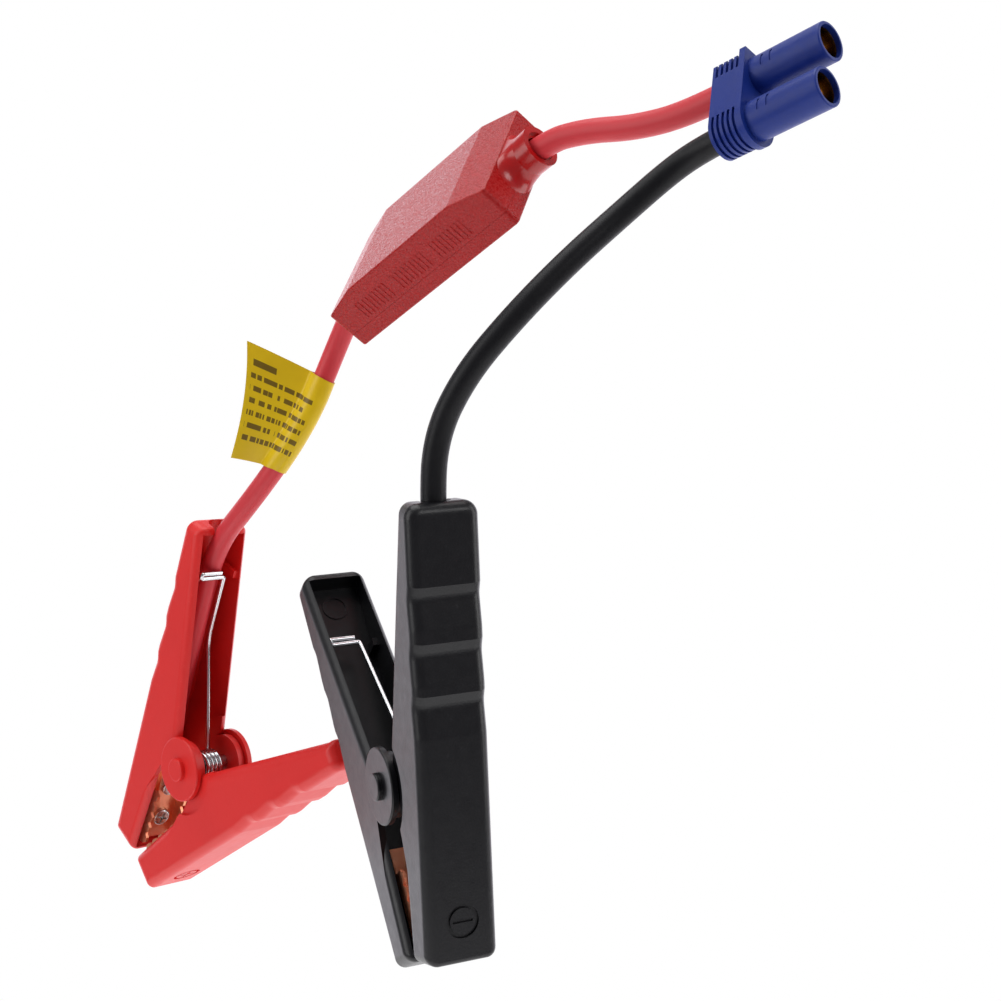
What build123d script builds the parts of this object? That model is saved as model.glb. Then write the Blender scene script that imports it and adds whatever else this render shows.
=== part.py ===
from build123d import *
import math
import os

# Clamp lead set of a car jump starter: a twin-barrel plug, a black lead to a
# black clamp, and a red lead through a protection box to a red clamp.
# The set is held by its plug, and both clamps hang from their leads.
# Origin: middle of the plug's front shoulder, between the two barrels.
# +Z is up, and the clamps hang below and behind the plug.  Millimetres.

# ---- leads ----
LEAD_DIA = 5.5            # 10-gauge silicone lead
LEAD_R = LEAD_DIA / 2

# ---- plug: own frame has X along the barrels, Y from barrel to barrel, Z out of the flat panel ----
PITCH = 11.4              # barrel to barrel
BARREL_R = 4.2
BARREL_BORE = 3.5
BARREL_LEN = 17.0
BLOCK_LEN = 8.5
BLOCK_THICK = 9.8
BLOCK_TOP = 3.7           # above the positive barrel's axis
LIP = 0.5                 # front lip, proud of the block
BULLET_R = 2.5            # 5 mm bullet contacts
ENTRY_DEPTH = 2.0         # how far a lead enters the back of the block

# ---- protection box: own frame has its origin at the middle of the base, X along it towards the plug ----
BOX_L, BOX_W = 57.4, 34.0
BOX_END_H, BOX_MID_H = 11.0, 13.4
BOX_SLOPE = 10.2          # length of the sloped part of the top at each end
BOX_WALL = 1.8
BOX_PART_Z = 3.9          # parting line between base and cover
BOX_AXIS_Z = 5.5          # height of the leads
BOX_LEAD_IN = 24.0        # leads end this far from the middle

# ---- clamp: two alike channel halves on one pivot; a half's own frame has
# X along its back towards the handle, Z out of its back, pivot at (0, 0, -BACK) ----
HALF_W = 8.2              # half of the width over the side walls
SIDE_WALL = 1.6
BACK_WALL = 2.0
BACK = 23.5               # pivot to back
SPREAD = 19.0             # angle of each half from the clamp's middle plane
HANDLE_LEN = 64.2
TIP_BACK, TIP_RIM = 34.0, 36.0
DEPTH_END, DEPTH_EAR, DEPTH_JAW, DEPTH_TIP = 7.4, 19.2, 12.9, 10.2
GRIP_STEPS = (46.8, 34.9, 23.9)   # finger steps along the handle
GRIP_DEPTH = 0.8
EDGE_R = 2.6
HANDLE_CORNER = 3.2   # seen on the back
OUTER_EAR_R, INNER_EAR_R = 8.7, 7.4
EAR_OUT, EAR_IN = 9.1, 7.6        # outer ear, from the middle plane
INNER_OUT, INNER_IN = 7.3, 5.5    # inner ear
STEP_R = 12.5             # round step around the inner ear
BOSS_R, BOSS_H = 3.1, 1.2
PIN_R = 2.0
PIN_HALF = 8.8
MARK_X, MARK_R = -24.9, 3.7       # polarity mark near the jaw tip
CHANNEL_V = 4.8           # lead axis below the back
NOTCH_R = 3.4             # lead notch in the handle's end wall
CABLE_BAR = (50.4, 9.4)   # spring crossbars: along the half, and below its back
FREE_BAR = (43.9, 7.9)
JAW_SEAT = 8.0            # copper jaw lies this far below the back
JAW_PLATE = 0.8
JAW_HALF_W = 5.2
JAW_FROM, JAW_TO = -33.0, -9.5    # plate
TEETH_TO = -15.5          # the toothed edges are shorter than the plate
JAW_TEETH = 5
TOOTH_DEPTH = 1.3
JAW_GAP = 0.16            # from a tooth to the clamp's middle plane, at the tip
JAW_RISE = 0.045          # the toothed edges deepen this much per millimetre from the tip
SCREW_X = (-15.5, -26.0)
WIRE_R = 0.6
COIL_R = 3.5
COIL_TURNS = 4
COIL_PITCH = 1.15

# ---- placing: where each piece hangs ----
PLUG = Plane(origin=(0, 0, 0), x_dir=(0.695, -0.677, 0.241), z_dir=(-0.707, -0.582, 0.402))
BOX = Plane(origin=(-62.1, 66.2, -19.0), x_dir=(0.651, -0.633, 0.419), z_dir=(-0.723, -0.351, 0.594))
BLACK = Plane(origin=(-70.1, 39.0, -142.3), x_dir=(-0.171, 0.198, 0.965), z_dir=(0.374, -0.893, 0.250))
RED = Plane(origin=(-131.9, 124.6, -152.2), x_dir=(0.465, -0.522, 0.715), z_dir=(-0.519, 0.493, 0.698))

# ---- lead routes, from the plug end to the clamp end ----
BLACK_ROUTE = [
    (-5.2, 1.9, -6.6), (-10.1, 6.7, -8.4), (-16.4, 10.0, -12.2), (-26.5, 11.5, -20.9),
    (-37.5, 9.0, -31.0), (-48.6, 7.0, -42.5), (-58.8, 9.3, -54.4), (-65.1, 13.4, -67.0),
    (-65.7, 16.0, -82.5), (-64.1, 18.1, -104.9), (-62.7, 21.3, -137.8),
]
RED_PLUG_ROUTE = [
    (-3.8, 6.9, 3.5), (-12.1, 15.0, 0.6), (-22.5, 24.0, -0.4), (-33.0, 33.0, 0.9),
    (-41.7, 40.5, 0.0), (-50.5, 49.0, -5.7),
]
RED_CLAMP_ROUTE = [
    (-81.7, 79.5, -25.8), (-87.3, 84.9, -29.4), (-90.9, 90.0, -36.3), (-95.1, 93.6, -45.3),
    (-99.6, 93.7, -56.5), (-106.4, 95.2, -67.8), (-116.1, 102.0, -79.8), (-127.2, 115.1, -91.3),
    (-133.1, 123.1, -108.0), (-142.3, 134.5, -138.8),
]

nodes = {}


def disc(x, z, radius, low, high):
    """A cylinder along Y between two heights of Y."""
    flat = Plane(origin=(x, low, z), x_dir=(1, 0, 0), z_dir=(0, 1, 0))
    return extrude(flat * Circle(radius), high - low)


def rod(x, y, radius, low, high):
    """A cylinder along Z."""
    return Pos(x, y, (low + high) / 2) * Cylinder(radius, high - low)


def bar(y, z, radius, low, high):
    """A cylinder along X."""
    flat = Plane(origin=(low, y, z), x_dir=(0, 1, 0), z_dir=(1, 0, 0))
    return extrude(flat * Circle(radius), high - low)


def slab(xs, ys, zs):
    """A box from its limits."""
    size = [span[1] - span[0] for span in (xs, ys, zs)]
    mid = [(span[1] + span[0]) / 2 for span in (xs, ys, zs)]
    return Pos(*mid) * Box(*size)


def side_plate(points, low, high):
    """An XZ outline given a thickness along Y."""
    outline = make_face(Polyline(*points, close=True))
    return Pos(0, high, 0) * extrude(Plane.XZ * outline, high - low)


def lead_tube(name, route):
    """Straight runs joined by tangent arcs, each as large as its runs allow."""
    points = [Vector(*p) for p in route]
    radii = []
    for before, here, after in zip(points, points[1:], points[2:]):
        turn = math.radians((here - before).get_angle(after - here))
        run = min((here - before).length, (after - here).length)
        radii.append(0.45 * run / math.tan(turn / 2))
    path = FilletPolyline(*points, radius=radii)
    start = Plane(origin=points[0], z_dir=points[1] - points[0])
    tube = sweep(start * Circle(LEAD_R), path=path)
    expected = math.pi * LEAD_R ** 2 * path.length
    print(name, "radii", [round(r, 1) for r in radii], "length", round(path.length, 1))
    print(name, "volume", round(tube.volume, 1), "expected", round(expected, 1))
    return tube


# ---- leads ----
nodes["black_lead"] = lead_tube("black lead", BLACK_ROUTE)
nodes["red_lead_plug_side"] = lead_tube("red lead, plug side", RED_PLUG_ROUTE)
nodes["red_lead_clamp_side"] = lead_tube("red lead, clamp side", RED_CLAMP_ROUTE)


# ---- plug ----
def plug_section(grow):
    """Square at the positive end, round at the negative end, in the YZ plane."""
    half = BLOCK_THICK / 2 + grow
    top = PITCH / 2 + BLOCK_TOP + grow
    mid = (top - PITCH / 2) / 2
    straight = Pos(mid, 0) * Rectangle(top + PITCH / 2, 2 * half)
    return straight + Pos(-PITCH / 2, 0) * Circle(half)


def plug_slice(grow, low, high):
    flat = Plane(origin=(low, 0, 0), x_dir=(0, 1, 0), z_dir=(1, 0, 0))
    return extrude(flat * plug_section(grow), high - low)


def plug_housing():
    body = plug_slice(0, -BLOCK_LEN, 0)
    along = body.edges().filter_by(Axis.X)
    far_corner = along.filter_by(lambda e: e.center().Y > 8 and e.center().Z < 0)
    body = fillet(far_corner, 2.6)
    body = fillet(body.edges().filter_by(Axis.X).filter_by(lambda e: e.center().Y > 8 and e.center().Z > 0), 0.5)
    ends = slab((-9, 0), (6.0, 15), (-9, 9)) + slab((-9, 0), (-15, -4.2), (-9, 9))
    for k in range(5):
        x = -BLOCK_LEN + 0.75 + k * 1.3
        ring = plug_slice(1, x, x + 0.65) - plug_slice(-0.6, x, x + 0.65)
        body -= ring & ends
    body += plug_slice(LIP, -1.5, 0)
    for y in (-PITCH / 2, PITCH / 2):
        barrel = bar(y, 0, BARREL_R, 0, BARREL_LEN)
        barrel = fillet(barrel.edges().group_by(Axis.X)[-1], 0.35)
        for x in (3.0, 5.2):
            tick = bar(y, 0, BARREL_R + 0.5, x, x + 0.6) - bar(y, 0, BARREL_R - 0.2, x, x + 0.6)
            barrel -= tick & slab((0, 9), (y - 1.3, y + 1.3), (0, 9))
        body += barrel
    for y in (-PITCH / 2, PITCH / 2):
        body -= bar(y, 0, BARREL_BORE, 2.0, BARREL_LEN + 1)
        body -= bar(y, 0, BULLET_R + 0.03, -BLOCK_LEN, 3)
        body -= bar(y, 0, LEAD_R + 0.15, -BLOCK_LEN - 1, -BLOCK_LEN + ENTRY_DEPTH)
    return body


def bullet(y):
    """A gold bullet contact: solder shank, collar on the barrel's floor, split pin."""
    pin = bar(y, 0, BULLET_R, -BLOCK_LEN + ENTRY_DEPTH + 0.2, 13.5)
    pin = fillet(pin.edges().group_by(Axis.X)[-1], 0.9)
    pin += bar(y, 0, 3.2, 2.0, 3.1)
    pin -= slab((8.8, 14), (y - 0.2, y + 0.2), (-3, 3))
    pin -= slab((8.8, 14), (y - 3, y + 3), (-0.2, 0.2))
    return pin


nodes["plug_housing"] = PLUG.location * plug_housing()
nodes["positive_bullet"] = PLUG.location * bullet(PITCH / 2)
nodes["negative_bullet"] = PLUG.location * bullet(-PITCH / 2)


# ---- protection box ----
def box_body(inset):
    half, end, mid = BOX_L / 2 - inset, BOX_END_H - inset, BOX_MID_H - inset
    knee = BOX_L / 2 - BOX_SLOPE
    outline = [(-half, inset), (half, inset), (half, end), (knee, mid), (-knee, mid), (-half, end)]
    return side_plate(outline, -BOX_W / 2 + inset, BOX_W / 2 - inset)


def box_shells():
    outer = box_body(0)
    outer = fillet(outer.edges().filter_by(Axis.Z), 1.2)
    outer = fillet(outer.edges(), 0.45)
    hollow = box_body(BOX_WALL)
    ends = bar(0, BOX_AXIS_Z, LEAD_R + 0.15, -BOX_L, BOX_L)
    shell = outer - hollow - ends
    seam = 0.06
    base = shell & slab((-40, 40), (-30, 30), (-1, BOX_PART_Z - seam))
    cover = shell & slab((-40, 40), (-30, 30), (BOX_PART_Z, 20))
    inner_l, inner_w = BOX_L / 2 - BOX_WALL - 0.1, BOX_W / 2 - BOX_WALL - 0.1
    lip = slab((-inner_l, inner_l), (-inner_w, inner_w), (1.0, BOX_PART_Z + 1.0))
    lip -= slab((-inner_l + 1, inner_l - 1), (-inner_w + 1, inner_w - 1), (0, 9))
    lip -= slab((-40, 40), (-4, 4), (2.0, 9))
    base += lip & slab((-40, 40), (-30, 30), (1.0, 9))
    for x in (-18, 18):
        for y in (-11, 11):
            base += rod(x, y, 1.8, BOX_WALL - 0.2, 2.6)
    for group in (-15.5, -1.5, 12.5):
        for k in range(9):
            x = group - 5.2 + k * 1.3
            for y in (-BOX_W / 2, BOX_W / 2):
                cover += slab((x - 0.3, x + 0.3), (y - 0.1, y + 0.1), (4.9, 9.4))
    return base, cover


def boot():
    """The flared strain relief at the plug end."""
    def oblong(x, width, height, corner):
        flat = Plane(origin=(x, 0, BOX_AXIS_Z), x_dir=(0, 1, 0), z_dir=(1, 0, 0))
        return flat * RectangleRounded(width, height, corner)
    first = BOX_L / 2
    flare = loft([oblong(first, 18, 10.2, 4.8), oblong(first + 1.6, 12.8, 10.0, 4.9),
                  oblong(first + 3.6, 10.6, 9.8, 4.85)])
    nose = loft([oblong(first + 3.6, 10.6, 9.8, 4.85), oblong(first + 7.4, 10.2, 10.2, 5.05)])
    body = flare + nose - bar(0, BOX_AXIS_Z, LEAD_R + 0.9, first + 6.2, first + 15)
    return body - bar(0, BOX_AXIS_Z, LEAD_R + 0.1, first - 1, first + 15)


def grommet():
    last = -BOX_L / 2
    ring = bar(0, BOX_AXIS_Z, 4.6, last - 2.6, last)
    ring = fillet(ring.edges().group_by(Axis.X)[0], 0.9)
    return ring - bar(0, BOX_AXIS_Z, LEAD_R + 0.1, last - 4, last + 1)


def terminals():
    """The two copper blocks that the leads end in, on the board."""
    pair = []
    for side in (-1, 1):
        xs = sorted((side * 15.0, side * 22.2))
        block = slab(xs, (-3.5, 3.5), (4.2, 7.4))
        pair.append(block + bar(0, BOX_AXIS_Z, 2.5, *sorted((side * 22.0, side * (BOX_LEAD_IN - 0.2)))))
    return pair


def diodes():
    """Three flat power diodes side by side."""
    row = []
    for y in (-8.5, 0, 8.5):
        case = slab((-6, 4), (y - 3.4, y + 3.4), (4.2, 8.4))
        row.append(case + slab((4, 9), (y - 3.4, y + 3.4), (4.2, 5.4)) + slab((-10, -6), (y - 1, y + 1), (4.2, 5.0)))
    return row


box_base, box_cover = box_shells()
board = slab((-22, 22), (-13, 13), (2.6, 4.2))
for name, solid in {
    "box_base": box_base, "box_cover": box_cover, "box_boot": boot(), "box_grommet": grommet(),
    "circuit_board": board, "board_terminals": Compound(children=terminals()),
    "power_diodes": Compound(children=diodes()),
}.items():
    nodes[name] = BOX.location * solid


# ---- lead tag: a strip folded round the lead and stuck to itself as a flag ----
TAG_LONG, TAG_WIDE, TAG_THICK = 24.0, 18.8, 0.4
TAG = Plane(origin=(-103.0, 94.3, -62.1), x_dir=(-0.865, -0.02, 0.5), z_dir=(-0.05, -0.99, -0.126))
tag_wrap = Rot(90, 0, 0) * (Cylinder(LEAD_R + 0.5, TAG_LONG) - Cylinder(LEAD_R - 0.1, TAG_LONG))
tag_flag = slab((LEAD_R, TAG_WIDE), (-TAG_LONG / 2, TAG_LONG / 2), (-TAG_THICK / 2, TAG_THICK / 2))
nodes["lead_tag"] = TAG.location * (tag_wrap + tag_flag)


# ---- clamps ----
def back_outline():
    """The back's line from the jaw tip to the handle end. Each finger step drops
    towards the jaw and ramps up again."""
    line = [(-TIP_BACK, 0)]
    for x in reversed(GRIP_STEPS):
        line += [(x - 9.0, 0), (x - 2.6, -GRIP_DEPTH), (x, 0)]
    return line + [(HANDLE_LEN, 0)]


def half_shell():
    """The filled half with its rounded edges, and the channel left when it is hollowed."""
    rim = [(HANDLE_LEN, -DEPTH_END), (8, -DEPTH_EAR), (-8, -DEPTH_JAW), (-TIP_RIM, -DEPTH_TIP)]
    outline = make_face(Polyline(*(back_outline() + rim), close=True))
    corners = [v for v in outline.vertices() if v.X < -TIP_BACK + 0.1 or (v.X > HANDLE_LEN - 0.1 and v.Y < -1)]
    outline = fillet(corners, 1.2)
    outline = fillet([v for v in outline.vertices() if abs(v.Y + GRIP_DEPTH) < 0.01], 3.5)
    outline = fillet([v for v in outline.vertices() if any(abs(v.X - x + 9) < 0.01 for x in GRIP_STEPS)], 6)
    wall = extrude(Plane.XZ * outline, HALF_W, both=True)
    wall = fillet([e for e in wall.edges().filter_by(Axis.Z) if e.center().X > HANDLE_LEN - 0.1], HANDLE_CORNER)
    edges = [e for e in wall.edges() if e.bounding_box().min.Z > -4 and e.bounding_box().max.Z > -1.5
             and (abs(e.center().Y) > HALF_W - 0.1 or e.center().X > HANDLE_LEN - HANDLE_CORNER)]
    solid = fillet(edges, EDGE_R)
    hollow = [(-TIP_BACK + 1.7, -BACK_WALL), (HANDLE_LEN - 1.8, -BACK_WALL), (HANDLE_LEN - 1.8, -60),
              (-TIP_RIM - 10, -60), (-TIP_RIM + 1.5, -DEPTH_TIP)]
    inner = HALF_W - SIDE_WALL
    return solid, solid - side_plate(hollow, -inner, inner)


def half(cable, bore, mark):
    """One moulded half, with its outer ear on -Y and its inner ear on +Y."""
    solid, shell = half_shell()
    # outer ear on -Y: clear the wall behind it, then add the ear and its boss
    shell -= disc(0, -BACK, INNER_EAR_R + 0.5, -EAR_IN, -4)
    ear = disc(0, -BACK, OUTER_EAR_R, -EAR_OUT, -EAR_IN)
    ear = fillet(ear.edges().group_by(Axis.Y)[0], 0.4)
    boss = disc(0, -BACK, BOSS_R, -EAR_OUT - BOSS_H, -EAR_OUT + 0.2)
    boss = fillet(boss.edges().group_by(Axis.Y)[0], 0.35)
    # inner ear on +Y: step the wall in around the pivot
    stepped = disc(0, -BACK, STEP_R, INNER_OUT, HALF_W + 1)
    behind = disc(0, -BACK, STEP_R, INNER_IN, HALF_W - SIDE_WALL + 0.1) & solid
    shell = shell - stepped + behind + disc(0, -BACK, INNER_EAR_R, INNER_IN, INNER_OUT)
    shell = shell + ear + boss
    # spring shelves, jaw boss with its screw holes
    inner = HALF_W - SIDE_WALL
    bar_x, bar_v = CABLE_BAR if cable else FREE_BAR
    for y in (-inner, inner):
        across = sorted((y + math.copysign(0.3, y), y * 0.8))
        shell += slab((bar_x - 1, bar_x + 1), across, (0.7 - bar_v, -BACK_WALL + 0.1))
    shell += slab((-31, -12.5), (-3.6, 3.6), (-JAW_SEAT, -BACK_WALL + 0.1))
    for x in SCREW_X:
        shell -= rod(x, 0, 1.25, -20, -3.0)
    # polarity mark in a round groove on the back
    shell -= rod(MARK_X, 0, MARK_R, -0.45, 1) - rod(MARK_X, 0, MARK_R - 0.8, -0.45, 1)
    shell -= slab((MARK_X - 0.3, MARK_X + 0.3), (-2.3, 2.3), (-0.4, 1))
    if mark == "plus":
        shell -= slab((MARK_X - 2.3, MARK_X + 2.3), (-0.3, 0.3), (-0.4, 1))
    if cable:
        # open notch in the handle's end wall for the lead
        notch = bar(0, -5.2, NOTCH_R, HANDLE_LEN - 3, HANDLE_LEN + 1)
        notch += slab((HANDLE_LEN - 3, HANDLE_LEN + 1), (-NOTCH_R, NOTCH_R), (-9, -5.2))
        shell -= notch
    else:
        shell += rod(57, 0, 3.2, -BACK_WALL - 0.3, -BACK_WALL + 0.1) - rod(57, 0, 2.6, -BACK_WALL - 1, -BACK_WALL)
    shell -= disc(0, -BACK, bore, -EAR_OUT + 0.25, 10)
    return shell


def copper_jaw():
    """A pressed copper plate with two toothed edges folded down. The teeth of both jaws meet at the tip."""
    deep = BACK + JAW_FROM * math.tan(math.radians(SPREAD)) - JAW_GAP
    step = (TEETH_TO - JAW_FROM) / JAW_TEETH
    edge = []
    for k in range(JAW_TEETH):
        x = TEETH_TO - k * step
        for share, up in ((0, TOOTH_DEPTH), (0.3, 0), (0.7, 0)):
            along = x - share * step
            edge.append((along, -deep - (along - JAW_FROM) * JAW_RISE + up))
    edge.append((JAW_FROM, -deep + TOOTH_DEPTH))
    outline = [(JAW_FROM, -JAW_SEAT), (TEETH_TO, -JAW_SEAT)] + edge
    jaw = slab((JAW_FROM, JAW_TO), (-JAW_HALF_W, JAW_HALF_W), (-JAW_SEAT - JAW_PLATE, -JAW_SEAT))
    for y in (-JAW_HALF_W, JAW_HALF_W - JAW_PLATE):
        jaw += side_plate(outline, y, y + JAW_PLATE)
    for x in SCREW_X:
        jaw -= rod(x, 0, 1.4, -12, -5)
    return jaw


def jaw_screws(lift):
    pair = []
    for x, up in zip(SCREW_X, (lift, 0)):
        seat = -JAW_SEAT - JAW_PLATE - up
        head = rod(x, 0, 2.5, seat - 1.5, seat)
        head = fillet(head.edges().group_by(Axis.Z)[0], 0.6)
        drive = slab((x - 1.5, x + 1.5), (-0.25, 0.25), (seat - 2, seat - 0.8))
        drive += slab((x - 0.25, x + 0.25), (-1.5, 1.5), (seat - 2, seat - 0.8))
        head -= Pos(x, 0, 0) * Rot(0, 0, 20) * Pos(-x, 0, 0) * drive
        pair.append(head + rod(x, 0, 1.2, seat - 0.1, -3.2))
    return Compound(children=pair)


def lead_lug():
    """The crimp that joins the lead to the copper jaw."""
    lug = bar(0, -CHANNEL_V, 2.65, -8.2, 5.7)
    top = -JAW_SEAT - 2 * JAW_PLATE
    lug += slab((-8.2, -7.0), (-2.6, 2.6), (top, -CHANNEL_V))
    lug += slab((-19, -7.0), (-3, 3), (top, -JAW_SEAT - JAW_PLATE))
    return lug - rod(SCREW_X[0], 0, 1.4, -12, -8.5)


OPEN_UP = Rot(0, -SPREAD, 0) * Pos(0, 0, BACK)     # cable half into the clamp's frame
TURNED = Rot(180, 0, 0) * OPEN_UP                  # free half: the same, turned over


def spring_leg(bar_x, bar_v):
    """A leg from the coil up the cable half, ending in its crossbar."""
    end = (OPEN_UP * Pos(bar_x, 0, -bar_v)).position
    reach = math.hypot(end.X, end.Z)
    angle = math.atan2(end.Z, end.X) + math.acos(COIL_R / reach)
    start = (COIL_R * math.cos(angle), (COIL_TURNS - 1) / 2 * COIL_PITCH, COIL_R * math.sin(angle))
    path = FilletPolyline(start, (end.X, 4.0, end.Z), (end.X, -4.9, end.Z), radius=1.6)
    flat = Plane(origin=path @ 0, z_dir=path % 0)
    return sweep(flat * Circle(WIRE_R), path=path)


def spring():
    """Four turns round the pivot, and a leg up each half."""
    whole = spring_leg(*CABLE_BAR) + Rot(180, 0, 0) * spring_leg(*FREE_BAR)
    for k in range(COIL_TURNS):
        whole += Pos(0, (k - (COIL_TURNS - 1) / 2) * COIL_PITCH, 0) * Rot(90, 0, 0) * Torus(COIL_R, WIRE_R)
    return whole


def clamp(prefix, frame, mark):
    pieces = {
        "cable_half": OPEN_UP * half(True, PIN_R + 0.02, mark),
        "free_half": TURNED * half(False, PIN_R + 0.06, mark),
        "pivot_pin": disc(0, 0, PIN_R, -PIN_HALF, PIN_HALF),
        "torsion_spring": spring(),
        "cable_jaw": OPEN_UP * copper_jaw(),
        "free_jaw": TURNED * copper_jaw(),
        "cable_jaw_screws": OPEN_UP * jaw_screws(JAW_PLATE),
        "free_jaw_screws": TURNED * jaw_screws(0),
        "lead_lug": OPEN_UP * lead_lug(),
    }
    for name, solid in pieces.items():
        nodes[prefix + "_" + name] = frame.location * solid


clamp("black", BLACK, "minus")
clamp("red", RED, "plus")

os.makedirs("parts", exist_ok=True)
for name, solid in nodes.items():
    export_step(solid, "parts/" + name + ".step")
    print(name, round(solid.volume, 1))
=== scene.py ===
import math

import bmesh
import bpy
from mathutils import Matrix, Vector


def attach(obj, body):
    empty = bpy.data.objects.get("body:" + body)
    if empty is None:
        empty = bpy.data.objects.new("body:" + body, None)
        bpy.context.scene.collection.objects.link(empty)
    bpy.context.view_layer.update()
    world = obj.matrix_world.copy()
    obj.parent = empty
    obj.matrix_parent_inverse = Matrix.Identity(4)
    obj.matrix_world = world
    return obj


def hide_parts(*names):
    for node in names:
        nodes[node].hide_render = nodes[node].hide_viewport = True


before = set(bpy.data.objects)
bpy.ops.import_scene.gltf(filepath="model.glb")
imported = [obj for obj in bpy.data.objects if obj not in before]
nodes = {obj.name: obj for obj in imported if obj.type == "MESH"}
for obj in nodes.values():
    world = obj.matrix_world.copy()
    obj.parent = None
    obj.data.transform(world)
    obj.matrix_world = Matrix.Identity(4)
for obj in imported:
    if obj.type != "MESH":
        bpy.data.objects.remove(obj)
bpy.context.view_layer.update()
bpy.ops.object.select_all(action="DESELECT")

# ---- view ----
# The camera stands level with the middle of the set, a third of a metre in front of the plug,
# and looks straight along the depth of the frame.
bpy.ops.object.camera_add(location=(-0.0515, -0.334, -0.080), rotation=(math.radians(90), 0, 0))
camera = bpy.context.object
camera.data.lens = 60.3
camera.data.sensor_width = 36
bpy.context.scene.camera = camera
bpy.context.scene.view_settings.view_transform = "Standard"


# ---- leads ----
# Three lengths of 10-gauge silicone lead, 5.5 mm thick and very limp. One black length runs from
# the plug to the black clamp, and two red ones from the plug to the box and on to the red clamp.
# The rubber is extruded over fine strands, so it is even along its length and faintly dusty.
LEAD_THICK = 0.0055


class Strand:
    """One output in a finish. Sums and products of it add Math nodes."""

    def __init__(self, finish, output):
        self.finish, self.output = finish, output

    def worked(self, operation, *values):
        return self.finish.node("ShaderNodeMath", {"operation": operation}, dict(enumerate(values)))

    def __add__(self, other):
        return self.worked("ADD", self, other)

    __radd__ = __add__

    def __mul__(self, other):
        return self.worked("MULTIPLY", self, other)

    __rmul__ = __mul__

    def __sub__(self, other):
        return self.worked("SUBTRACT", self, other)

    def __rsub__(self, other):
        return self.worked("SUBTRACT", other, self)

    def __gt__(self, other):
        return self.worked("GREATER_THAN", self, other)

    def __lt__(self, other):
        return self.worked("LESS_THAN", self, other)

    def __mod__(self, other):
        return self.worked("FLOORED_MODULO", self, other)


class Finish:
    """A surface finish, mixed from nodes."""

    def __init__(self, name):
        self.material = bpy.data.materials.new(name)
        self.material.use_nodes = True
        self.tree = self.material.node_tree
        self.shader = self.tree.nodes["Principled BSDF"]
        self.place = self.node("ShaderNodeTexCoord", {}, {}, "Object")

    def node(self, kind, settings, sockets, output=0):
        made = self.tree.nodes.new(kind)
        for name, value in settings.items():
            if name == "stops":
                while len(made.color_ramp.elements) < len(value):
                    made.color_ramp.elements.new(1)
                for element, (at, colour) in zip(made.color_ramp.elements, value):
                    element.position, element.color = at, (*colour, 1)
            else:
                setattr(made, name, value)
        for name, value in sockets.items():
            if isinstance(value, Strand):
                self.tree.links.new(value.output, made.inputs[name])
            else:
                made.inputs[name].default_value = value
        return Strand(self, made.outputs[output])

    def clouds(self, per_metre, detail=2.0, place=None):
        """Soft noise from 0 to 1, with so many features to the metre."""
        sockets = {"Vector": place or self.place, "Scale": per_metre, "Detail": detail}
        return self.node("ShaderNodeTexNoise", {}, sockets)

    def stretched(self, x, y, z, turn=(0, 0, 0)):
        """The object's coordinates, turned and then drawn out."""
        return self.node("ShaderNodeMapping", {}, {"Vector": self.place, "Rotation": turn, "Scale": (x, y, z)})

    def ramp(self, value, *stops):
        return self.node("ShaderNodeValToRGB", {"stops": stops}, {"Fac": value})

    def blended(self, factor, first, second):
        sockets = {0: factor, 6: first if isinstance(first, Strand) else (*first, 1),
                   7: second if isinstance(second, Strand) else (*second, 1)}
        return self.node("ShaderNodeMix", {"data_type": "RGBA"}, sockets, 2)

    def bumped(self, height, depth, strength=1.0, over=None):
        sockets = {"Height": height, "Distance": depth, "Strength": strength}
        if over:
            sockets["Normal"] = over
        return self.node("ShaderNodeBump", {}, sockets)

    def surface(self, **sockets):
        for name, value in sockets.items():
            name = name.replace("_", " ")
            if isinstance(value, Strand):
                self.tree.links.new(value.output, self.shader.inputs[name])
            else:
                self.shader.inputs[name].default_value = (*value, 1) if isinstance(value, tuple) else value
        return self.material


def silicone(name, deep, bright, gloss):
    rubber = Finish(name)
    drift = rubber.clouds(70, 3)
    dust = rubber.clouds(900, 4)
    grain = rubber.clouds(3200, 2)
    colour = rubber.blended(drift * 0.7 + dust * 0.3, deep, bright)
    return rubber.surface(Base_Color=colour, Roughness=0.36 + dust * 0.2, Specular_IOR_Level=gloss,
                          Normal=rubber.bumped(grain, 0.00004, 0.5))


def lead(name, cad_node, finish, route):
    """A lead on its route's points. It moves with the set, and its far end goes back into a piece."""
    line = bpy.data.curves.new(name, "CURVE")
    line.dimensions = "3D"
    line.resolution_u = 16
    line.bevel_depth = LEAD_THICK / 2
    line.bevel_resolution = 7
    line.use_fill_caps = True
    spline = line.splines.new("NURBS")
    spline.points.add(len(route) - 1)
    for point, place in zip(spline.points, route):
        point.co = (*place, 1)
    spline.order_u = 3
    spline.use_endpoint_u = True
    line.materials.append(finish)
    piece = bpy.data.objects.new(name, line)
    bpy.context.collection.objects.link(piece)
    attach(piece, "lead_set")
    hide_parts(cad_node)
    return piece


black_rubber = silicone("black silicone", (0.0016, 0.0016, 0.0026), (0.0032, 0.0032, 0.0048), 0.28)
red_rubber = silicone("red silicone", (0.56, 0.026, 0.036), (0.68, 0.040, 0.052), 0.42)

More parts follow.
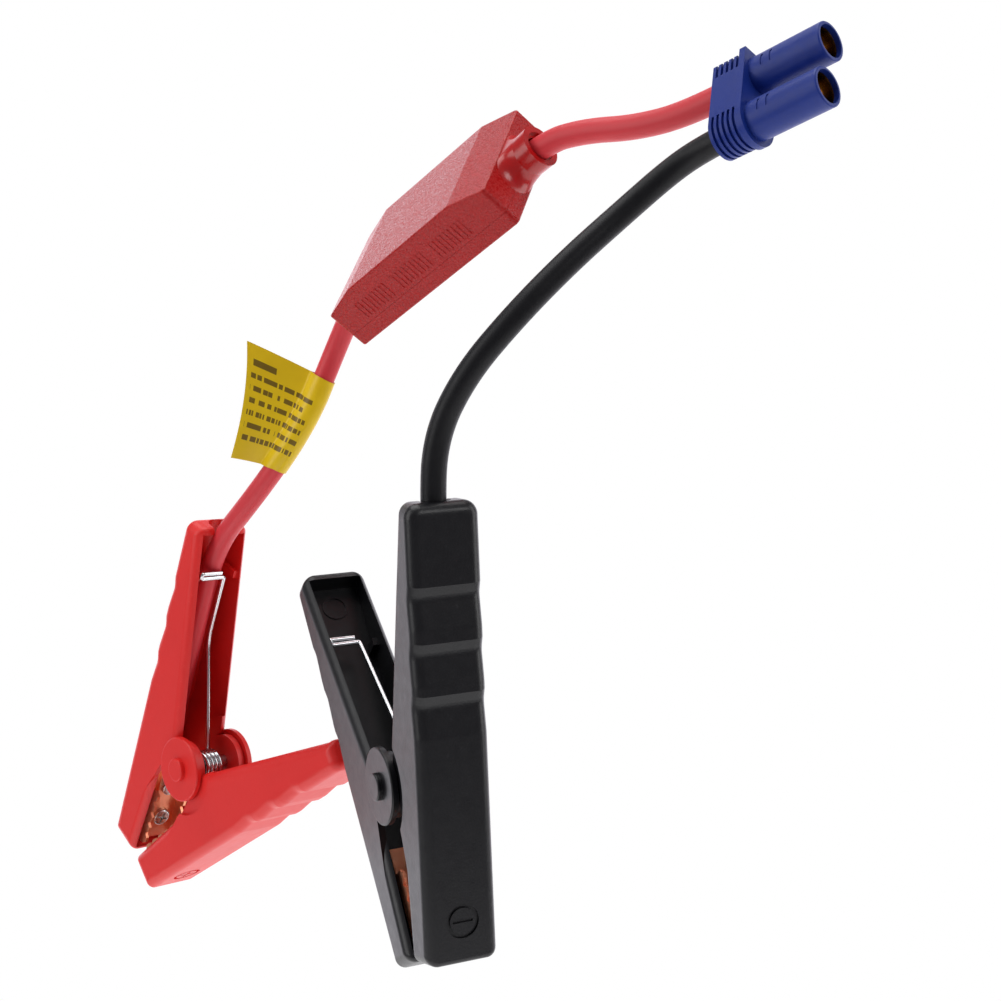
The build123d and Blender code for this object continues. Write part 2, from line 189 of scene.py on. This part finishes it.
black_route = [
    (-0.0052, 0.0019, -0.0066), (-0.0101, 0.0067, -0.0084), (-0.0164, 0.0100, -0.0122), (-0.0265, 0.0115, -0.0209),
    (-0.0375, 0.0090, -0.0310), (-0.0486, 0.0070, -0.0425), (-0.0588, 0.0093, -0.0544), (-0.0651, 0.0134, -0.0670),
    (-0.0657, 0.0160, -0.0825), (-0.0641, 0.0181, -0.1049), (-0.0627, 0.0213, -0.1378),
]
red_plug_route = [
    (-0.0038, 0.0069, 0.0035), (-0.0121, 0.0150, 0.0006), (-0.0225, 0.0240, -0.0004), (-0.0330, 0.0330, 0.0009),
    (-0.0417, 0.0405, 0.0000), (-0.0505, 0.0490, -0.0057),
]
red_clamp_route = [
    (-0.0817, 0.0795, -0.0258), (-0.0873, 0.0849, -0.0294), (-0.0909, 0.0900, -0.0363), (-0.0951, 0.0936, -0.0453),
    (-0.0996, 0.0937, -0.0565), (-0.1064, 0.0952, -0.0678), (-0.1161, 0.1020, -0.0798), (-0.1272, 0.1151, -0.0913),
    (-0.1331, 0.1231, -0.1080), (-0.1423, 0.1345, -0.1388),
]
black_lead = lead("black_silicone_lead", "black_lead", black_rubber, black_route)
red_plug_lead = lead("red_lead_from_plug", "red_lead_plug_side", red_rubber, red_plug_route)
red_clamp_lead = lead("red_lead_to_clamp", "red_lead_clamp_side", red_rubber, red_clamp_route)


# ---- lead tag ----
# A yellow vinyl label, 27 mm tall, folded round the lead and stuck to itself as a flag. The layers
# part a little round the lead, and handling has curled the free corners. Plain bars stand for print.
LABEL_TOP, LABEL_FOOT = -0.0484, -0.0716        # heights, where the label goes round the lead
LABEL_WIDTHS = (21.4, 10.8)                     # mm from the lead's middle to the free edge, top and foot
LABEL_RING = 3.05                               # mm, the radius of the turn round the lead
LABEL_FLAP = 4.2                                # mm from the lead's middle to where the layers meet
LABEL_GLUE = 0.10                               # mm, half of what the glue keeps between the layers
LABEL_TURN = 9.0                                # mm, what the turn round the lead adds to a printed width
FIRST_ROW, LAST_ROW, ROW_PITCH, ROW_TALL = 0.255, 0.86, 0.107, 0.046


def label_vinyl():
    vinyl = Finish("yellow label")
    mottle = vinyl.clouds(300, 4)
    creases = vinyl.clouds(60, 2)
    print_place = vinyl.node("ShaderNodeTexCoord", {}, {}, "UV")
    across = vinyl.node("ShaderNodeSeparateXYZ", {}, {"Vector": print_place}, "X")
    down = vinyl.node("ShaderNodeSeparateXYZ", {}, {"Vector": print_place}, "Y")
    row = (down - FIRST_ROW) % ROW_PITCH
    word_place = vinyl.node("ShaderNodeCombineXYZ", {}, {"X": across * 34, "Y": (down - row) * 90})
    words = vinyl.clouds(1, 0, word_place)
    inside = (across > 0.045) * (across < 0.72) * (down > FIRST_ROW) * (down < LAST_ROW)
    lines = (row < ROW_TALL) * (words > 0.42) * inside
    heading = (across > 0.06) * (across < 0.28) * (down > 0.13) * (down < 0.19)
    ink = lines.worked("MAXIMUM", lines, heading)
    ground = vinyl.blended(mottle * 0.6 + creases * 0.4, (0.66, 0.43, 0.003), (0.80, 0.56, 0.006))
    printed = vinyl.blended(ink * 0.85, ground, (0.07, 0.035, 0.008))
    return vinyl.surface(Base_Color=printed, Roughness=0.30 + mottle * 0.12, Specular_IOR_Level=0.35,
                         Normal=vinyl.bumped(creases, 0.0002, 0.3))


def centre_line(piece):
    """Points along the middle of a lead."""
    bare = piece.data.copy()
    bare.bevel_depth = 0
    stand_in = bpy.data.objects.new("bare lead", bare)
    line = bpy.data.meshes.new_from_object(stand_in)
    points = [vertex.co.copy() for vertex in line.vertices]
    bpy.data.objects.remove(stand_in)
    return points


def flag_label(name, along, rows, width_top, width_foot):
    """A sheet that follows the lead, goes round it, and lies on itself as a flag to the left."""
    down = (along[-1] - along[0]).normalized()
    front = Vector((-0.05, -0.99, -0.126))
    front = (front - front.dot(down) * down).normalized()
    left = down.cross(front)
    near = [(3.95, 0.14), (3.6, 0.34), (3.1, 1.0), (2.4, 1.95), (1.5, 2.66), (0.8, 2.95)]
    turns = [math.radians(angle) for angle in range(96, -97, -12)]
    ring = [(LABEL_RING * math.cos(turn), LABEL_RING * math.sin(turn)) for turn in turns]
    sheet = bmesh.new()
    flat = sheet.loops.layers.uv.new("print")
    grid = []
    for k in range(rows + 1):
        share = k / rows
        place = share * (len(along) - 1)
        low = min(int(place), len(along) - 2)
        centre = along[low].lerp(along[low + 1], place - low)
        width = width_top + (width_foot - width_top) * share
        flap = [(width + (LABEL_FLAP - width) * n / 13, LABEL_GLUE) for n in range(14)]
        profile = flap + near + [(-x, y) for x, y in ring]
        profile += [(s, -q) for s, q in reversed(near)] + [(s - 0.35, -q) for s, q in reversed(flap)]
        line, run, before = [], 0.0, None
        for s, q in profile:
            curl = max(0.0, s / width - 0.3)
            bend = curl * curl * (3.0 + 9.0 * (share - 0.4) ** 2)
            lower = max(0.0, s / width) * (1.2 + 1.6 * share)
            point = centre + (left * s + front * (q + bend) + down * lower) * 0.001
            if before is not None:
                run += math.hypot(s - before[0], q - before[1])
            before = (s, q)
            line.append((sheet.verts.new(point), run / (width + LABEL_TURN), share))
        grid.append(line)
    for upper, lower in zip(grid, grid[1:]):
        for (a, b), (c, d) in zip(zip(upper, upper[1:]), zip(lower, lower[1:])):
            face = sheet.faces.new((a[0], b[0], d[0], c[0]))
            for loop, corner in zip(face.loops, (a, b, d, c)):
                loop[flat].uv = (corner[1], corner[2])
    mesh = bpy.data.meshes.new(name)
    sheet.to_mesh(mesh)
    sheet.free()
    piece = bpy.data.objects.new(name, mesh)
    bpy.context.collection.objects.link(piece)
    bpy.ops.object.select_all(action="DESELECT")
    piece.select_set(True)
    bpy.context.view_layer.objects.active = piece
    thick = piece.modifiers.new("film", "SOLIDIFY")
    thick.thickness = 0.00014
    thick.offset = 0
    bpy.ops.object.modifier_apply(modifier=thick.name)
    bpy.ops.object.shade_smooth_by_angle(angle=math.radians(50))
    return piece


beside_label = [point for point in centre_line(red_clamp_lead) if LABEL_FOOT < point.z < LABEL_TOP]
label = flag_label("lead_label", beside_label, 26, *LABEL_WIDTHS)
label.data.materials.append(label_vinyl())
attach(label, "lead_set")
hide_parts("lead_tag")


# ---- plug housing ----
# Blue glass-filled nylon, moulded in one piece: two round barrels in a finger-grooved block.
# The glass leaves a dry, faintly mottled skin that polishes along the edges that hands rub.
def give(finish, *names):
    """A CAD node takes a finish in place of its plain colour."""
    for name in names:
        for place in nodes[name].material_slots:
            place.material = finish


def blue_nylon():
    nylon = Finish("blue nylon")
    drift = nylon.clouds(160, 3)
    fibre = nylon.clouds(2600, 3)
    pits = nylon.clouds(900, 5)
    colour = nylon.blended(drift * 0.6 + pits * 0.4, (0.003, 0.018, 0.17), (0.006, 0.030, 0.25))
    return nylon.surface(Base_Color=colour, Roughness=0.34 + pits * 0.22, Specular_IOR_Level=0.34,
                         Normal=nylon.bumped(fibre * 0.6 + pits * 0.4, 0.00006, 0.6))


give(blue_nylon(), "plug_housing")


# ---- bullet contacts ----
# 5 mm brass bullets under thin gold, turned on a lathe and split in four so that they spring
# against the socket. Turning leaves fine rings, and handling leaves a warm haze.
PLUG_ALONG = (0.695, -0.677, 0.241)             # the way that the barrels point
PLUG_OUT = (-0.707, -0.582, 0.402)              # out of the flat panel
BARREL_AWAY = 0.0057                            # from the plug's middle to a barrel's axis
SLEEVE_R, SLEEVE_LONG, SLEEVE_MIDDLE = 0.00330, 0.0070, 0.0120


def gold_plate(name, shade, bright):
    gold = Finish(name)
    haze = gold.clouds(700, 4)
    rings = gold.clouds(1, 2, gold.stretched(6000, 6000, 500))
    colour = gold.blended(haze, shade, bright)
    return gold.surface(Base_Color=colour, Metallic=1.0, Roughness=0.16 + haze * 0.16,
                        Normal=gold.bumped(rings, 0.00002, 0.4))


give(gold_plate("gold plate", (0.90, 0.58, 0.20), (1.0, 0.74, 0.34)), "positive_bullet", "negative_bullet")
# Painted shade: the sleeves' gold is made dark brown to stand for the shade deep in the barrels' mouths.
shade_darkened_gold = gold_plate("gold darkened as painted shade", (0.10, 0.055, 0.018), (0.26, 0.15, 0.05))


def contact_sleeve(name, across):
    """The thin sleeve that lines a barrel round its bullet, darkened to brown as painted shade inside the barrel,
    its mouth turned out a little.
    """
    along = Vector(PLUG_ALONG).normalized()
    out = Vector(PLUG_OUT)
    out = (out - out.dot(along) * along).normalized()
    place = out.cross(along) * across + along * SLEEVE_MIDDLE
    bpy.ops.object.select_all(action="DESELECT")
    bpy.ops.mesh.primitive_cylinder_add(vertices=72, radius=SLEEVE_R, depth=SLEEVE_LONG, end_fill_type="NOTHING",
                                        location=place, rotation=along.to_track_quat("Z", "Y").to_euler())
    sleeve = bpy.context.object
    sleeve.name = name
    bpy.ops.object.transform_apply(location=True, rotation=True, scale=True)
    mouth = bmesh.new()
    mouth.from_mesh(sleeve.data)
    rim = [edge for edge in mouth.edges if edge.is_boundary and (edge.verts[0].co - place).dot(along) > 0.001]
    turned = bmesh.ops.extrude_edge_only(mouth, edges=rim)["geom"]
    middle = place + along * (SLEEVE_LONG / 2)
    for corner in turned:
        if isinstance(corner, bmesh.types.BMVert):
            corner.co = middle + (corner.co - middle) * 1.035 + along * 0.0004
    bmesh.ops.recalc_face_normals(mouth, faces=mouth.faces)
    mouth.to_mesh(sleeve.data)
    mouth.free()
    skin = sleeve.modifiers.new("wall", "SOLIDIFY")
    skin.thickness = 0.00015
    skin.offset = -1
    bpy.ops.object.modifier_apply(modifier=skin.name)
    bpy.ops.object.shade_smooth_by_angle(angle=math.radians(40))
    sleeve.data.materials.append(shade_darkened_gold)
    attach(sleeve, "lead_set")


contact_sleeve("positive_contact_sleeve", BARREL_AWAY)
contact_sleeve("negative_contact_sleeve", -BARREL_AWAY)


# ---- clamp halves ----
# Each clamp is two alike channels of tough moulded plastic that share a pivot. The mould gives a
# fine satin skin, with soft flow marks, a few handling scratches and a little chalky wear.
def satin_plastic(name, deep, body, scuffed, rough, gloss):
    plastic = Finish(name)
    flow = plastic.clouds(38, 4)
    skin = plastic.clouds(2400, 2)
    rub = plastic.clouds(420, 6)
    scratch = plastic.clouds(1, 3, plastic.stretched(220, 3800, 900, (0.5, 0.7, 0.2)))
    marks = plastic.ramp(scratch, (0.66, (0, 0, 0)), (0.74, (1, 1, 1)))
    colour = plastic.blended(flow, deep, body)
    colour = plastic.blended(marks * rub * 0.5, colour, scuffed)
    return plastic.surface(Base_Color=colour, Roughness=rough + rub * 0.14 + marks * 0.05, Specular_IOR_Level=gloss,
                           Normal=plastic.bumped(skin + rub * 0.5, 0.00005, 0.55))


red_plastic = satin_plastic("red satin plastic", (0.62, 0.012, 0.010), (0.75, 0.018, 0.015), (0.85, 0.09, 0.08),
                            rough=0.32, gloss=0.42)
black_plastic = satin_plastic("black satin plastic", (0.0018, 0.0018, 0.0028), (0.0032, 0.0032, 0.0048),
                              (0.016, 0.016, 0.02), rough=0.28, gloss=0.44)
give(red_plastic, "red_cable_half", "red_free_half")
give(black_plastic, "black_cable_half", "black_free_half")


# ---- copper jaws and lugs ----
# Pressed from 0.8 mm copper-plated sheet. Rolling leaves fine lines along the jaw, the press
# leaves bright tooth edges, and the flats take a warm brown tarnish.
def copper_sheet():
    copper = Finish("copper sheet")
    tarnish = copper.clouds(260, 5)
    lines = copper.clouds(1, 3, copper.stretched(900, 900, 5200))
    colour = copper.blended(tarnish, (0.86, 0.26, 0.12), (1.0, 0.50, 0.32))
    return copper.surface(Base_Color=colour, Metallic=0.8, Roughness=0.24 + tarnish * 0.22,
                          Normal=copper.bumped(lines, 0.00004, 0.5))


bare_copper = copper_sheet()
give(bare_copper, "black_cable_jaw", "black_free_jaw", "red_cable_jaw", "red_free_jaw", "black_lead_lug",
     "red_lead_lug")


# ---- pins and screws ----
# Nickel-plated steel: the pivot pins are ground and the small cross-drive screws are rolled.
# Both are bright, with a light haze and hairline scratches from the tools.
def plated_steel(name, low, high, rough):
    steel = Finish(name)
    haze = steel.clouds(500, 5)
    hair = steel.clouds(1, 2, steel.stretched(5000, 700, 700, (0.3, 0.2, 0.9)))
    return steel.surface(Base_Color=steel.blended(haze, low, high), Metallic=1.0, Roughness=rough + haze * 0.16,
                         Normal=steel.bumped(hair, 0.00002, 0.35))


give(plated_steel("nickel plate", (0.42, 0.42, 0.43), (0.68, 0.67, 0.65), 0.18), "black_pivot_pin", "red_pivot_pin",
     "black_cable_jaw_screws", "black_free_jaw_screws", "red_cable_jaw_screws", "red_free_jaw_screws")


# ---- torsion springs ----
# 1.2 mm spring wire, wound a little over four turns round each pivot. A leg runs up each half and
# doubles back across it as a hook, which bears on the half's two shelves. The free leg swings with
# its half, and the last of the coil goes round with it.
spring_wire = plated_steel("spring wire", (0.50, 0.51, 0.53), (0.78, 0.79, 0.80), 0.12)
WIRE_R = 0.0006             # in metres
LEAN = math.radians(19)     # a half from the clamp's middle plane
BACK = 23.5                 # mm from the pivot to a half's back
COIL_R = 3.5                # mm, to the middle of the wire
COIL_WIDE = 5.5             # mm along the pivot, from the first turn's wire to the last
STEP = 9                    # degrees from point to point of the coil
CABLE_HOOK = (50.4, 9.4)    # mm up the half, and below its back
FREE_HOOK = (43.9, 7.9)
CABLE_KNEE = (23.3, 3.1, 24.9)


def clamp_place(origin, along, out):
    """The clamp's own frame: X towards the handles, Y along the pivot, Z towards the cable half."""
    out = Vector(out).normalized()
    side = out.cross(Vector(along)).normalized()
    return Matrix.Translation(origin) @ Matrix((side.cross(out), side, out)).transposed().to_4x4()


def coil(radius, first, last, start, stop):
    """The coil from first to last, of a whole that goes from start to stop, all in degrees."""
    steps = int((last - first) / STEP)
    line = []
    for k in range(steps + 1):
        turn = first + (last - first) * k / steps
        y = COIL_WIDE / 2 - COIL_WIDE * (turn - start) / (stop - start)
        line.append(Vector((radius * math.cos(math.radians(turn)), y, radius * math.sin(math.radians(turn)))))
    return line


def rounded(corners, least):
    """A line through corners, each rounded off: tightly at the hook, and gently at a knee between long runs."""
    line = [corners[0]]
    for before, here, after in zip(corners, corners[1:], corners[2:]):
        reach = max(least, 0.25 * min((before - here).length, (after - here).length) - 1.2)
        near = here + (before - here).normalized() * reach
        far = here + (after - here).normalized() * reach
        line += [near.lerp(here, k / 8).lerp(here.lerp(far, k / 8), k / 8) for k in range(9)]
    return line + [corners[-1]]


def hooked_leg(hook_x, depth, side, knee=None):
    """A leg from the coil to its hook, which is hook_x up the half and depth below its back. A knee keeps it
    clear of the lead. It gives the angle that it leaves the coil at, and its line."""
    def up(x, y):
        high = BACK - depth
        forward = x * math.cos(LEAN) - high * math.sin(LEAN)
        return Vector((forward, side * y, side * (x * math.sin(LEAN) + high * math.cos(LEAN))))

    bends = [knee] if knee else []
    aim = knee or up(hook_x, 0)
    angle = math.atan2(side * aim.z, aim.x) + math.acos(COIL_R / math.hypot(aim.x, aim.z))
    foot = Vector((COIL_R * math.cos(angle), side * COIL_WIDE / 2, side * COIL_R * math.sin(angle)))
    hook = [up(hook_x, 1.7), up(hook_x - 0.1, -5.6), up(hook_x + 1.4, -5.6), up(hook_x + 1.3, 0.6)]
    return math.degrees(angle), rounded([foot] + bends + hook, 0.72)


def wire(name, line, place, body, cad_node):
    """Round wire along a line of the clamp's frame, in millimetres."""
    curve = bpy.data.curves.new(name, "CURVE")
    curve.dimensions = "3D"
    curve.bevel_depth = WIRE_R
    curve.bevel_resolution = 4
    curve.use_fill_caps = True
    spline = curve.splines.new("POLY")
    spline.points.add(len(line) - 1)
    for point, here in zip(spline.points, line):
        point.co = (*(place @ (here * 0.001)), 1)
    curve.materials.append(spring_wire)
    piece = bpy.data.objects.new(name, curve)
    bpy.context.collection.objects.link(piece)
    bpy.ops.object.select_all(action="DESELECT")
    piece.select_set(True)
    bpy.context.view_layer.objects.active = piece
    bpy.ops.object.convert(target="MESH")
    bpy.ops.object.shade_smooth()
    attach(piece, body)
    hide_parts(cad_node)


def torsion_spring(colour, place):
    """The fixed leg with its coil, and the free leg with the last 60 degrees of the coil, a hair tighter."""
    leaves, cable_leg = hooked_leg(*CABLE_HOOK, 1, Vector(CABLE_KNEE))
    meets, free_leg = hooked_leg(*FREE_HOOK, -1)
    stop = 5 * 360 - meets
    fixed_coil = coil(COIL_R, leaves, stop - 8, leaves, stop)[1:]
    free_coil = coil(3.48, stop - 60, stop, leaves, stop)[:-1]
    cad_node = colour + "_torsion_spring"
    wire(colour + "_spring_coil", cable_leg[::-1] + fixed_coil, place, "lead_set", cad_node)
    wire(colour + "_spring_free_leg", free_coil + free_leg, place, colour + "_lever", cad_node)


torsion_spring("black", clamp_place((-0.0701, 0.0390, -0.1423), (-0.171, 0.198, 0.965), (0.374, -0.893, 0.250)))
torsion_spring("red", clamp_place((-0.1319, 0.1246, -0.1522), (0.465, -0.522, 0.715), (-0.519, 0.493, 0.698)))


# ---- protection box ----
# A two-part red case, snapped together along a line below the ribs. Its mould is spark-eroded, so
# the top has a dry sparkling grain that spreads the light.
def grained_plastic():
    plastic = Finish("red grained plastic")
    flow = plastic.clouds(45, 4)
    spark = plastic.ramp(plastic.clouds(1700, 3), (0.40, (0, 0, 0)), (0.62, (1, 1, 1)))
    fine = plastic.clouds(3400, 2)
    colour = plastic.blended(flow * 0.6 + spark * 0.4, (0.34, 0.002, 0.002), (0.46, 0.004, 0.003))
    return plastic.surface(Base_Color=colour, Roughness=0.22 + spark * 0.16, Specular_IOR_Level=0.34,
                           Normal=plastic.bumped(spark * 0.6 + fine * 0.4, 0.00010, 1.0))


give(grained_plastic(), "box_cover", "box_base")


# ---- boot and grommet ----
# Soft glossy red PVC, pressed into the ends of the box where the leads go in. The boot at the plug
# end flares out against the box and narrows to a neck, and the grommet is a plain rounded ring.
def soft_red():
    vinyl = Finish("soft red vinyl")
    drift = vinyl.clouds(90, 3)
    ripple = vinyl.clouds(420, 3)
    colour = vinyl.blended(drift, (0.38, 0.004, 0.004), (0.48, 0.006, 0.006))
    return vinyl.surface(Base_Color=colour, Roughness=0.16 + ripple * 0.14, Specular_IOR_Level=0.55,
                         Normal=vinyl.bumped(ripple, 0.00010, 0.35))


give(soft_red(), "box_boot", "box_grommet")


# ---- inside the box ----
# A green glass-fibre board on posts in the base, with three power diodes in black epoxy and two
# copper blocks that the leads end in. The closed case hides all of it.
def board_green():
    board = Finish("board green")
    weave = board.clouds(1, 2, board.stretched(1800, 500, 1800))
    spots = board.clouds(300, 3)
    colour = board.blended(spots, (0.008, 0.09, 0.03), (0.016, 0.16, 0.05))
    return board.surface(Base_Color=colour, Roughness=0.25 + weave * 0.2, Normal=board.bumped(weave, 0.00004, 0.5))


def epoxy_case():
    epoxy = Finish("black epoxy")
    grain = epoxy.clouds(2600, 3)
    colour = epoxy.blended(grain, (0.010, 0.010, 0.011), (0.022, 0.022, 0.023))
    return epoxy.surface(Base_Color=colour, Roughness=0.5 + grain * 0.2, Normal=epoxy.bumped(grain, 0.00006, 0.7))


give(board_green(), "circuit_board")
give(epoxy_case(), "power_diodes")
give(bare_copper, "board_terminals")


# ---- floor and light ----
# A plain pale floor under the hanging set, a room that is dim in front and has a white backdrop
# behind, and large soft lamps from above, from both sides and a little from the front.
bpy.ops.mesh.primitive_circle_add(vertices=96, radius=0.55, fill_type="NGON", location=(-0.05, 0.10, -0.42))
floor = bpy.context.object
floor.name = "floor"
pale = Finish("pale floor")
pale.surface(Base_Color=(0.86, 0.86, 0.86), Roughness=0.9, Specular_IOR_Level=0.1, Emission_Color=(1, 1, 1),
             Emission_Strength=0.55)
floor.data.materials.append(pale.material)

ROOM_DIM, ROOM_WHITE = 0.24, 1.7        # light of the room in front, and of the backdrop
ROOM_EDGE = (0.46, 0.68)                # how far round to the back the one turns into the other
ROOM_SLOPE = -0.35                      # the backdrop leans away at the top
ROOM_TINT = (0.96, 0.93, 1, 1)          # cool, where the set mirrors the room
world = bpy.data.worlds.new("white room")
world.use_nodes = True
bpy.context.scene.world = world
air = world.node_tree
sky = air.nodes["Background"]
way = air.nodes.new("ShaderNodeTexCoord")
parts = air.nodes.new("ShaderNodeSeparateXYZ")
air.links.new(way.outputs["Generated"], parts.inputs["Vector"])
tilt = air.nodes.new("ShaderNodeMath")
tilt.operation = "MULTIPLY_ADD"
tilt.inputs[1].default_value = ROOM_SLOPE
air.links.new(parts.outputs["Z"], tilt.inputs[0])
air.links.new(parts.outputs["Y"], tilt.inputs[2])
backdrop = air.nodes.new("ShaderNodeMapRange")
for socket, value in zip(("From Min", "From Max", "To Min", "To Max"), (*ROOM_EDGE, ROOM_DIM, ROOM_WHITE)):
    backdrop.inputs[socket].default_value = value
air.links.new(tilt.outputs["Value"], backdrop.inputs["Value"])
seen = air.nodes.new("ShaderNodeLightPath")
bright = air.nodes.new("ShaderNodeMapRange")
bright.inputs["To Max"].default_value = 1.0
air.links.new(backdrop.outputs["Result"], bright.inputs["To Min"])
air.links.new(seen.outputs["Is Camera Ray"], bright.inputs["Value"])
air.links.new(bright.outputs["Result"], sky.inputs["Strength"])
tint = air.nodes.new("ShaderNodeMix")
tint.data_type = "RGBA"
tint.inputs[6].default_value = ROOM_TINT
tint.inputs[7].default_value = (1, 1, 1, 1)
air.links.new(seen.outputs["Is Camera Ray"], tint.inputs[0])
air.links.new(tint.outputs[2], sky.inputs["Color"])


def lamp(name, place, width, height, power):
    bpy.ops.object.light_add(type="AREA", location=place)
    box = bpy.context.object
    box.name = name
    box.data.shape = "RECTANGLE"
    box.data.size, box.data.size_y, box.data.energy = width, height, power
    middle = Vector((-0.07, 0.06, -0.09))
    box.rotation_euler = (middle - Vector(place)).to_track_quat("-Z", "Y").to_euler()


lamp("top softbox", (-0.15, 0.05, 0.75), 0.8, 0.8, 6.0)
lamp("left softbox", (-0.80, -0.25, 0.15), 0.45, 0.9, 3.2)
lamp("right softbox", (0.70, 0.05, 0.10), 0.35, 0.9, 2.4)
lamp("front softbox", (0.42, -0.50, 0.30), 0.30, 0.22, 1.0)
